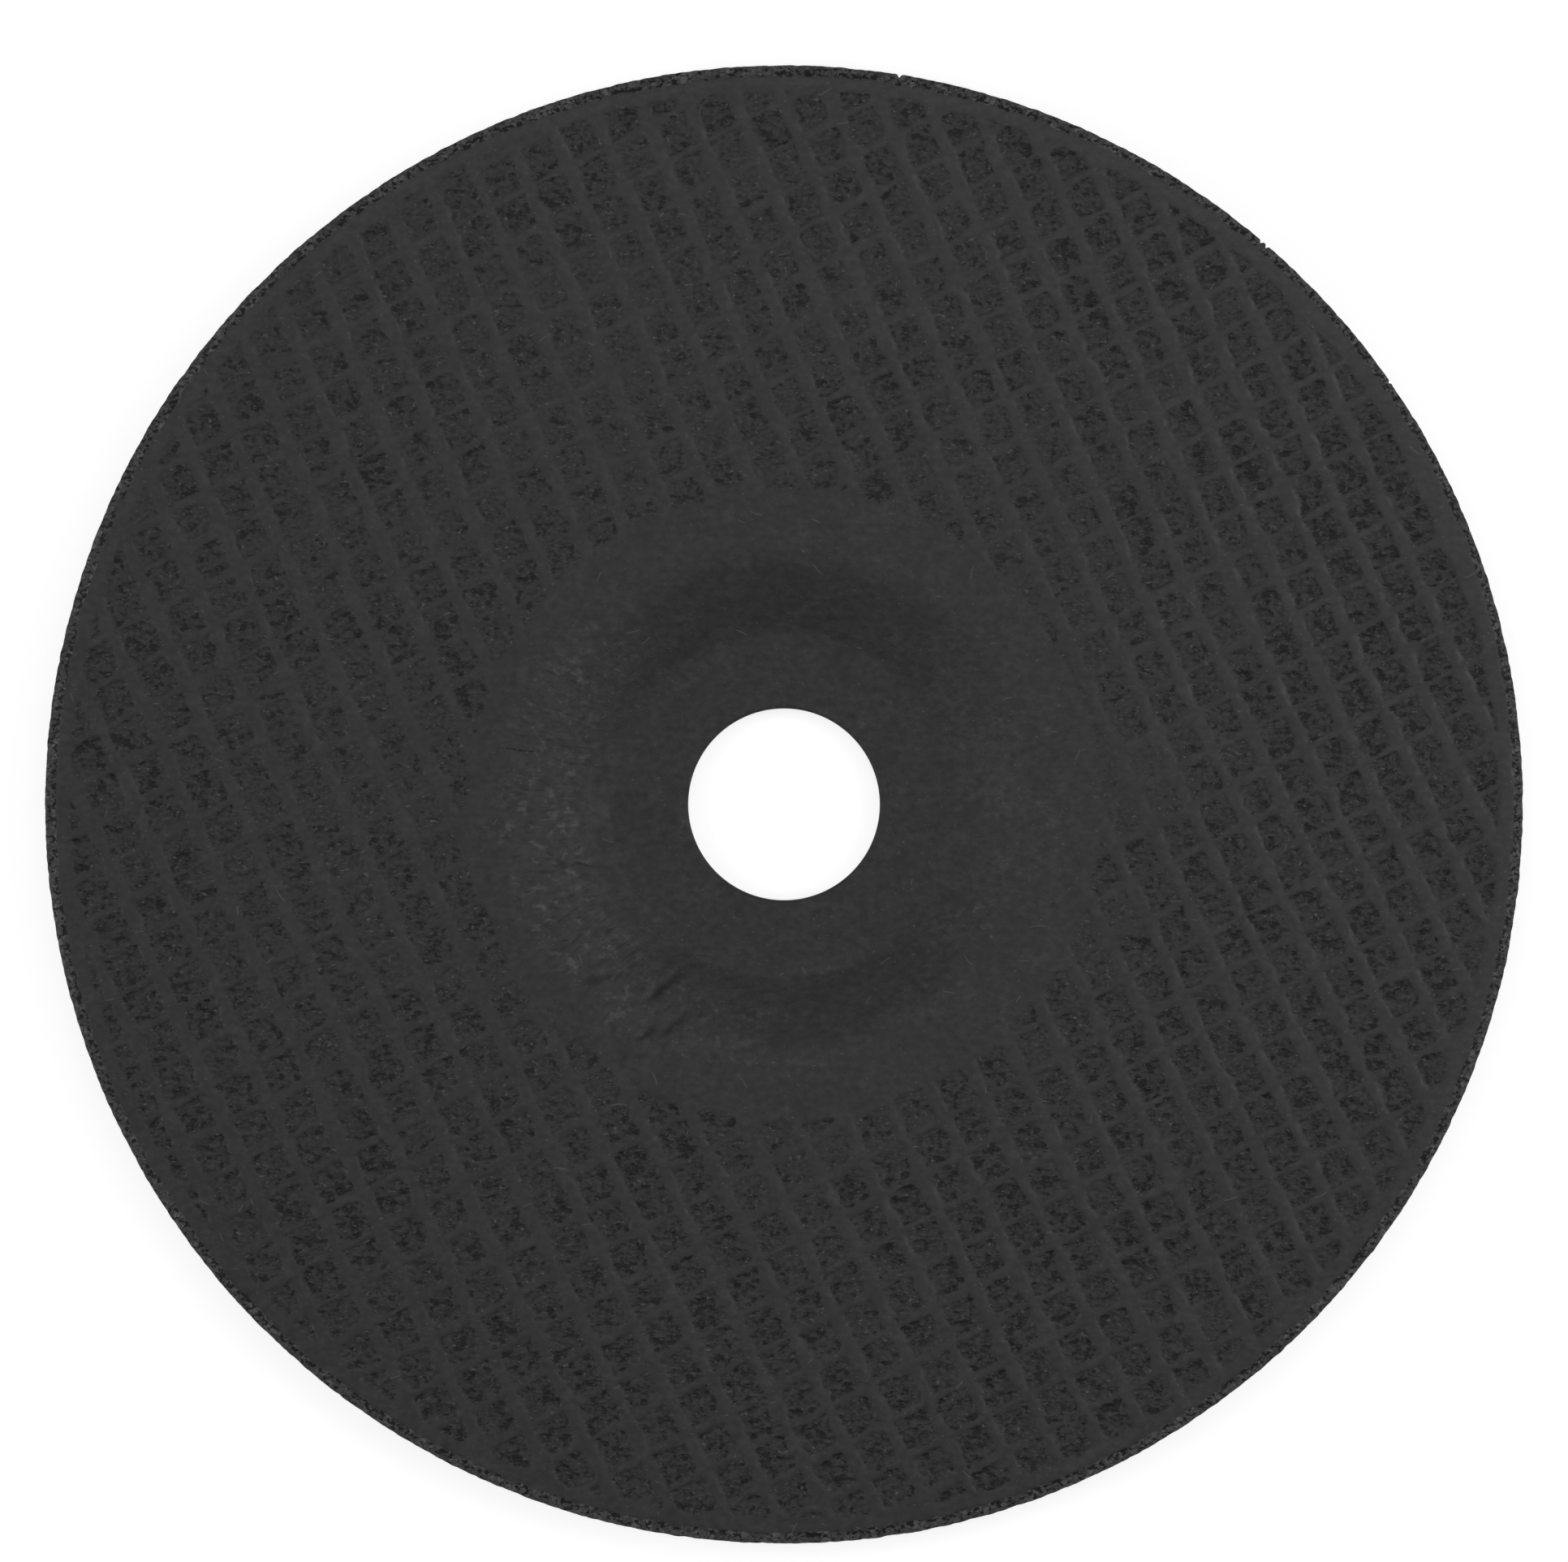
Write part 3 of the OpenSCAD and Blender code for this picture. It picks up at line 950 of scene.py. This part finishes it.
def skin_colour(tree, place, finish, gradient_share):
    """Resin skin: mottled between its dark and its usual tone, with fibres and specks. Also gives the mask of these.

    The last argument sets how far painted light lifts the skin towards the highlight tone, more towards the upper
    right.
    """
    fine = cloud(tree, place, 0.85, 3.0, 0.1, 1.1)
    slow = cloud(tree, place, 3.6, 1.0, 0.55, 1.0)
    base = mix_colour(tree, calculate(tree, "MULTIPLY", fine, slow), opaque(finish.skin_dark), opaque(finish.skin))
    # Painted light: the skin is lighter towards the upper right and further out.
    painted_light = calculate(tree, "MULTIPLY", painted_light_gradient(tree, place), gradient_share)
    base = mix_colour(tree, painted_light, base, opaque(finish.highlight_tone))
    fibre_inputs = {"Vector": place, "Spacing": 3.6, "Length": 0.25, "Width": 0.024, "Share": 0.12}
    fibres = use_effect(tree, fibre_group(), fibre_inputs)["Mask"]
    specks = blots(tree, place, 0.42, 1.0, 0.08, 0.14)
    flecks = calculate(tree, "MAXIMUM", calculate(tree, "MULTIPLY", fibres, 0.55), calculate(tree, "MULTIPLY", specks, 0.6))
    return mix_colour(tree, flecks, base, opaque(finish.fibre_and_glint)), flecks


def resin_skin(finish):
    """The smooth resin skin of the hub, streaked over the bends, with a painted highlight on its lit slopes and painted
    shade in its creases.
    """
    material, tree, shader, place = start_material("resin_skin", finish.gloss)
    creased_and_lit = mark_value(tree, "creased_and_lit")
    base, flecks = skin_colour(tree, place, finish, 1.0)
    streak_inputs = {"Vector": place, "Radius": 30.0, "Width": 0.5, "Length": 1.4}
    streaks = use_effect(tree, streak_group(), streak_inputs)["Value"]
    patches = map_value(tree, blots(tree, place, 1.2, 3.5, 0.40, 0.11), 0.0, 1.0, 0.12, 1.0)
    # Painted highlight: light streaked patches on the slopes that the lamps light, where the creased mark is strong.
    light = calculate(tree, "MULTIPLY", map_value(tree, streaks, 0.2, 0.9, 0.4, 0.95), patches)
    base = mix_colour(tree, calculate(tree, "MULTIPLY", light, creased_and_lit), base, opaque(finish.highlight_tone))
    # Dark cracks and dashes of the skin, with the painted shade of its creases.
    cracks_and_shade = calculate(tree, "MULTIPLY", map_value(tree, streaks, 0.0, 0.2, 0.4, 0.0), creased_and_lit)
    cracks_and_shade = calculate(tree, "MAXIMUM", cracks_and_shade, mark_value(tree, "painted_crease_shade"))
    for start, end, width in CRACKS:
        crack_inputs = {"Vector": place, "Start": (*start, 0.0), "End": (*end, 0.0), "Width": width}
        crack = calculate(tree, "MULTIPLY", use_effect(tree, crack_group(), crack_inputs)["Mask"], 0.95)
        cracks_and_shade = calculate(tree, "MAXIMUM", cracks_and_shade, crack)
    base = mix_colour(tree, cracks_and_shade, base, opaque(finish.pit_shade))
    sheen = cloud(tree, place, 1.2, 1.0, finish.skin_roughness - 0.08, finish.skin_roughness + 0.08)
    height = calculate(tree, "ADD", cloud(tree, place, 0.7, 2.0, 0.0, 1.0), calculate(tree, "MULTIPLY", streaks, creased_and_lit))
    height = calculate(tree, "ADD", height, flecks)
    finish_material(tree, shader, base, sheen, height, 0.00004)
    return material


def woven_skin(finish):
    """The resin over the glass mesh: smooth on the yarns, a hollowed film in the windows with painted shade in its
    hollows and painted glints, and a painted highlight on one flank of the wide yarns.
    """
    material, tree, shader, place = start_material("woven_skin", finish.gloss)
    window = mark_value(tree, "window")
    inside = map_value(tree, window, 0.05, 0.6)
    base, flecks = skin_colour(tree, place, finish, 1.0)
    film = mix_colour(tree, cloud(tree, place, 0.55, 2.0, 0.0, 1.0), opaque(finish.window), opaque(finish.film_light))
    share_dark = map_value(tree, window, 0.1, 0.9, 0.24, 0.48)
    # Painted shade in the hollows of the film, which the bump also sinks.
    hollows = blots(tree, place, 0.90, 2.4, share_dark, 0.12)
    film = mix_colour(tree, hollows, film, opaque(finish.hollow_shade))
    base = mix_colour(tree, inside, base, film)
    # Painted highlight on one flank of the wide yarns, stronger where the painted light is.
    flank_highlight = calculate(tree, "MULTIPLY", mark_value(tree, "flank_highlight"), blots(tree, place, 1.8, 3.0, 0.65, 0.25))
    flank_highlight = calculate(tree, "MULTIPLY", flank_highlight, map_value(tree, painted_light_gradient(tree, place), 0.02, 0.12, 0.15, 0.72))
    base = mix_colour(tree, flank_highlight, base, opaque(finish.highlight_tone))
    # Painted glints: small bright spots in the windows.
    painted_glints = calculate(tree, "MULTIPLY", blots(tree, place, 0.5, 1.0, 0.2, 0.14), inside)
    base = mix_colour(tree, calculate(tree, "MULTIPLY", painted_glints, 0.7), base, opaque(finish.fibre_and_glint))
    rough = map_value(tree, inside, 0.0, 1.0, finish.skin_roughness, finish.window_roughness)
    lumps = calculate(tree, "ADD", cloud(tree, place, 0.8, 1.0, 0.0, 1.0), painted_glints)
    height = calculate(tree, "SUBTRACT", lumps, calculate(tree, "MULTIPLY", hollows, 0.7))
    height = calculate(tree, "MULTIPLY", height, map_value(tree, window, 0.0, 1.0, 0.10, 1.0))
    finish_material(tree, shader, base, rough, height, 0.00010)
    return material


def bare_grain(finish):
    """The rim: smooth border and cut abrasive, with painted shade in the pits and gaps between its grains."""
    material, tree, shader, place = start_material("bare_grain", finish.gloss)
    bare = mark_value(tree, "bare")
    border, flecks = skin_colour(tree, place, finish, 1.3)
    grit = use_effect(tree, grit_group(), {"Vector": place, "Size": 0.85})
    tone = calculate(tree, "MULTIPLY", grit["Tone"], cloud(tree, place, 0.3, 1.0, 0.3, 1.3))
    grain = mix_colour(tree, tone, opaque(finish.grain_dark), opaque(finish.fibre_and_glint))
    # Painted shade in the gaps and pits between the grains, which the bump also sinks.
    grain_gap_shade = map_value(tree, grit["Edge"], 0.02, 0.16, 0.45, 0.0)
    share_deep = map_value(tree, mark_value(tree, "pitted"), 0.0, 1.0, 0.36, 0.53)
    pit_shade_mask = calculate(tree, "MAXIMUM", grain_gap_shade, blots(tree, place, 0.5, 2.0, share_deep, 0.05))
    grain = mix_colour(tree, pit_shade_mask, grain, opaque(finish.pit_shade))
    base = mix_colour(tree, map_value(tree, bare, 0.35, 0.65), border, grain)
    rough = map_value(tree, bare, 0.0, 1.0, finish.skin_roughness, finish.grain_roughness)
    height = calculate(tree, "SUBTRACT", calculate(tree, "MULTIPLY", grit["Height"], 0.3), pit_shade_mask)
    height = calculate(tree, "MULTIPLY", height, map_value(tree, bare, 0.0, 1.0, 0.02, 1.0))
    finish_material(tree, shader, base, rough, height, 0.00010)
    return material


MAKERS = {"resin_skin": resin_skin, "woven_skin": woven_skin, "bare_grain": bare_grain}


def finish_named(name):
    """One of the wheel's materials, made when it is first wanted."""
    return bpy.data.materials.get(name) or MAKERS[name](bpy.context.scene.wheel_finish)


# Operators


class WheelPart:
    """What the operators that build the wheel share."""

    bl_options = {"REGISTER", "UNDO"}

    @staticmethod
    def shapes(context):
        section = Section(context.scene.wheel_section)
        return section, Cloth(context.scene.wheel_cloth, section.rim_r)


class WHEEL_OT_add_hub(WheelPart, bpy.types.Operator):
    """Add the dished hub, front and back"""

    bl_idname = "wheel.add_hub"
    bl_label = "Add hub"

    def execute(self, context):
        section, _ = self.shapes(context)
        skin = finish_named("resin_skin")
        middle = section.dished_wall(section.thick / 2, 2.5)
        front = np.concatenate([section.hole_wall(0.22), section.dished_wall(0, 0.29)])
        build_hub(section, "hub_front", front, middle[::-1], 660, skin, False)
        back = np.concatenate([section.dished_wall(section.thick, 0.75)[::-1], section.hole_foot(0.3)])
        build_hub(section, "hub_back", back, middle, 330, skin, True)
        return {"FINISHED"}


class WHEEL_OT_add_front_mesh(WheelPart, bpy.types.Operator):
    """Add the woven ring of the front, in strips along the warp"""

    bl_idname = "wheel.add_front_mesh"
    bl_label = "Add front mesh"

    def execute(self, context):
        section, cloth = self.shapes(context)
        grid = build_cloth_grid(section, cloth, (0, 0.4, 0.65, 0.9, 1.15), 11, (0, 0.24, 0.48, 0.74), 12)
        relief, marks = woven_relief(grid["x"], grid["y"], grid["warp"], grid["weft"], cloth, section)
        height = section.front_z + skin_wave(grid["x"], grid["y"]) + relief
        normals = grid_normals(grid, height, False)
        third = section.rim_r * 0.47
        rows = [0, *seams(grid, (-third, 0, third)), grid["kept"].shape[0]]
        for number, strip in enumerate(zip(rows, rows[1:]), start=1):
            build_strip(f"front_mesh_{number}", grid, strip, height, normals, marks, section.middle_z,
                        finish_named("woven_skin"), cloth.turn[0], False)
        return {"FINISHED"}


class WHEEL_OT_add_back_mesh(WheelPart, bpy.types.Operator):
    """Add the woven ring of the back, in two halves"""

    bl_idname = "wheel.add_back_mesh"
    bl_label = "Add back mesh"

    def execute(self, context):
        section, cloth = self.shapes(context)
        grid = build_cloth_grid(section, cloth, (0, 0.6, 1.05), 6, (0, 0.3, 0.7), 6)
        relief, marks = woven_relief(grid["x"], grid["y"], grid["warp"], grid["weft"], cloth, section)
        height = section.back_z - skin_wave(grid["x"], grid["y"]) - relief
        normals = grid_normals(grid, height, True)
        rows = [0, *seams(grid, (0,)), grid["kept"].shape[0]]
        for number, strip in enumerate(zip(rows, rows[1:]), start=1):
            build_strip(f"back_mesh_{number}", grid, strip, height, normals, marks, section.middle_z,
                        finish_named("woven_skin"), cloth.turn[0], True)
        return {"FINISHED"}


class WHEEL_OT_add_rim(WheelPart, bpy.types.Operator):
    """Add the rim with its bare band of grain"""

    bl_idname = "wheel.add_rim"
    bl_label = "Add rim"

    def execute(self, context):
        section, _ = self.shapes(context)
        turns = 1920
        arcs = 8
        loop = section.rim_line(0.28)
        angles, faces, turn, row = sweep(loop, turns)
        run = np.broadcast_to(line_run(loop), (turns, len(loop)))
        lap = np.broadcast_to(angles[:, None] / (2 * math.pi), run.shape)
        across = np.minimum(run, run.max() - run) - (section.band_inner_r - section.cloth_outer_r)
        across = across - 0.35 * np.clip(np.cos(angles[:, None] - math.radians(28)), 0, 1) ** 4
        ragged = 0.20 * soft_noise(lap * 560, run / 1.1, 1, 81, wrap=560)
        bare = smooth(-0.12, 0.10, across + ragged)
        grains = pebbles(lap * 640, run / 0.87, 1, 82, wrap=640)
        rough = soft_noise(lap * 330, run / 1.7, 1, 83, wrap=330)
        inward = 1 - smooth(0.1, 1.0, across)
        pitted = bare * inward
        lift = bare * (0.12 * grains + 0.04 * rough - 0.03 - 0.06 * inward)
        points = swept_points(loop, angles, lift)
        reach = chipped_radius(angles, section.rim_r)[:, None]
        points[..., :2] *= np.minimum(1, reach / np.hypot(points[..., 0], points[..., 1]))[..., None]
        x, y = points[..., 0], points[..., 1]
        face = np.where(run < run.max() / 2, 1, -1)
        points[..., 2] += skin_wave(x, y) * face * (1 - bare)
        normals = swept_normals(points, len(loop))
        points = points.reshape(-1, 3)
        shown = row[:, 0] < len(loop) - 1
        lane = turn[:, :1] // (turns // arcs)
        share_across = turn / (turns // arcs) - lane
        rise = run[0][np.minimum(row, len(loop) - 1)] / run.max()
        places = np.stack([0.01 + 0.98 * share_across, (lane + 0.15 + 0.8 * rise) / arcs], axis=-1)
        texture = [places[shown], tucked(points, faces[~shown])]
        marks = {"bare": bare, "pitted": pitted}
        kinds = [faces[shown], faces[~shown]]
        make_piece("rim", points, normals.reshape(-1, 3), kinds, texture, finish_named("bare_grain"), marks)
        return {"FINISHED"}


def light_path_mask(tree):
    """1 for what the camera, a mirror or glass sees of the background."""
    path = add_node(tree, "ShaderNodeLightPath").outputs
    seen = calculate(tree, "MAXIMUM", path["Is Camera Ray"], path["Is Transmission Ray"])
    return path["Is Glossy Ray"], seen


def add_softbox(name, place, size, power):
    """A softbox that shines on the wheel and that the camera doesn't see."""
    lamp = bpy.data.lights.new(name, "AREA")
    lamp.shape = "RECTANGLE"
    lamp.size, lamp.size_y = size
    lamp.energy = power
    box = bpy.data.objects.new(name, lamp)
    box.location = place
    box.rotation_euler = (-Vector(place)).to_track_quat("-Z", "Y").to_euler()
    box.visible_camera = False
    bpy.context.scene.collection.objects.link(box)


class WHEEL_OT_add_studio(bpy.types.Operator):
    """Add the floor, the lamps, the background and the camera"""

    bl_idname = "wheel.add_studio"
    bl_label = "Add studio"
    bl_options = {"REGISTER", "UNDO"}

    def execute(self, context):
        studio = context.scene.wheel_studio
        self.add_floor(studio)
        self.add_background(context, studio)
        add_softbox("right_softbox", (0.575, 0.06, 0.41), (0.45, 0.72), studio.right_lamp)
        add_softbox("left_softbox", (-0.85, -0.05, 0.61), (0.5, 0.8), studio.left_lamp)
        add_softbox("high_softbox", (0.06, 0.22, 0.96), (0.6, 0.6), studio.high_lamp)
        self.add_camera(context, studio)
        context.scene.view_settings.view_transform = "Standard"
        return {"FINISHED"}

    @staticmethod
    def add_floor(studio):
        half = 2.0
        mesh = bpy.data.meshes.new("floor")
        mesh.from_pydata([(-half, -half, 0), (half, -half, 0), (half, half, 0), (-half, half, 0)], [], [(0, 1, 2, 3)])
        floor = bpy.data.objects.new("floor", mesh)
        floor.location.z = -0.00005
        bpy.context.scene.collection.objects.link(floor)
        material = bpy.data.materials.new("floor_paper")
        material.use_nodes = True
        tree = material.node_tree
        tree.nodes.clear()
        paper = add_node(tree, "ShaderNodeBsdfDiffuse", {"Color": (0.45, 0.45, 0.45, 1)})
        glossy, seen = light_path_mask(tree)
        strength = calculate(tree, "MULTIPLY", calculate(tree, "MAXIMUM", glossy, seen), 0.75)
        glow = add_node(tree, "ShaderNodeEmission", {"Color": opaque(studio.backdrop), "Strength": strength})
        both = add_node(tree, "ShaderNodeAddShader", {0: paper.outputs[0], 1: glow.outputs[0]})
        add_node(tree, "ShaderNodeOutputMaterial", {"Surface": both.outputs[0]})
        mesh.materials.append(material)

    @staticmethod
    def add_background(context, studio):
        world = bpy.data.worlds.new("studio")
        context.scene.world = world
        world.use_nodes = True
        tree = world.node_tree
        tree.nodes.clear()
        glossy, seen = light_path_mask(tree)
        direction = add_node(tree, "ShaderNodeTexCoord").outputs["Generated"]
        rise = add_node(tree, "ShaderNodeSeparateXYZ", {0: direction}).outputs["Z"]
        wall = map_value(tree, rise, 0.05, 0.3, 1.0, 0.0)
        shown = calculate(tree, "MAXIMUM", seen, calculate(tree, "MULTIPLY", glossy, wall))
        even = map_value(tree, rise, 0.3, 1.0, 0.7 * studio.fill, 1.2 * studio.fill)
        fill = add_node(tree, "ShaderNodeBackground", {"Color": (1, 1, 1, 1), "Strength": even})
        backdrop = add_node(tree, "ShaderNodeBackground", {"Color": opaque(studio.backdrop), "Strength": 1.0})
        both = add_node(tree, "ShaderNodeMixShader", {0: shown, 1: fill.outputs[0], 2: backdrop.outputs[0]})
        add_node(tree, "ShaderNodeOutputWorld", {"Surface": both.outputs[0]})

    @staticmethod
    def add_camera(context, studio):
        lens = bpy.data.cameras.new("camera")
        lens.lens = studio.lens
        camera = bpy.data.objects.new("camera", lens)
        distance = studio.picture_width * lens.lens / lens.sensor_width
        camera.location = (0, studio.picture_rise, WHEEL_TOP.z + distance)
        context.scene.collection.objects.link(camera)
        context.scene.camera = camera


PART_OPERATORS = (
    WHEEL_OT_add_hub,
    WHEEL_OT_add_front_mesh,
    WHEEL_OT_add_back_mesh,
    WHEEL_OT_add_rim,
    WHEEL_OT_add_studio,
)


class WHEEL_PT_panel(bpy.types.Panel):
    """The wheel's operators, sizes and colours"""

    bl_idname = "WHEEL_PT_panel"
    bl_label = "Cut-off wheel"
    bl_space_type = "VIEW_3D"
    bl_region_type = "UI"
    bl_category = "Cut-off wheel"

    def draw(self, context):
        for part in PART_OPERATORS:
            self.layout.operator(part.bl_idname)
        for title, name in GROUP_NAMES.items():
            group = getattr(context.scene, name)
            box = self.layout.box()
            box.label(text=title)
            for size in group.bl_rna.properties:
                if not size.is_readonly and size.identifier != "name":
                    box.prop(group, size.identifier)


GROUP_NAMES = {
    "Section": "wheel_section",
    "Glass mesh": "wheel_cloth",
    "Finish": "wheel_finish",
    "Studio": "wheel_studio",
}
GROUPS = (WheelSection, WheelCloth, WheelFinish, WheelStudio)
CLASSES = (*GROUPS, *PART_OPERATORS, WHEEL_PT_panel)


def register():
    for kind in CLASSES:
        bpy.utils.register_class(kind)
    for name, group in zip(GROUP_NAMES.values(), GROUPS):
        setattr(bpy.types.Scene, name, bpy.props.PointerProperty(type=group))


def unregister():
    for name in GROUP_NAMES.values():
        delattr(bpy.types.Scene, name)
    for kind in reversed(CLASSES):
        bpy.utils.unregister_class(kind)


def main():
    register()
    bpy.ops.wheel.add_studio()
    bpy.ops.wheel.add_hub()
    bpy.ops.wheel.add_front_mesh()
    bpy.ops.wheel.add_back_mesh()
    bpy.ops.wheel.add_rim()


if __name__ == "__main__":
    main()
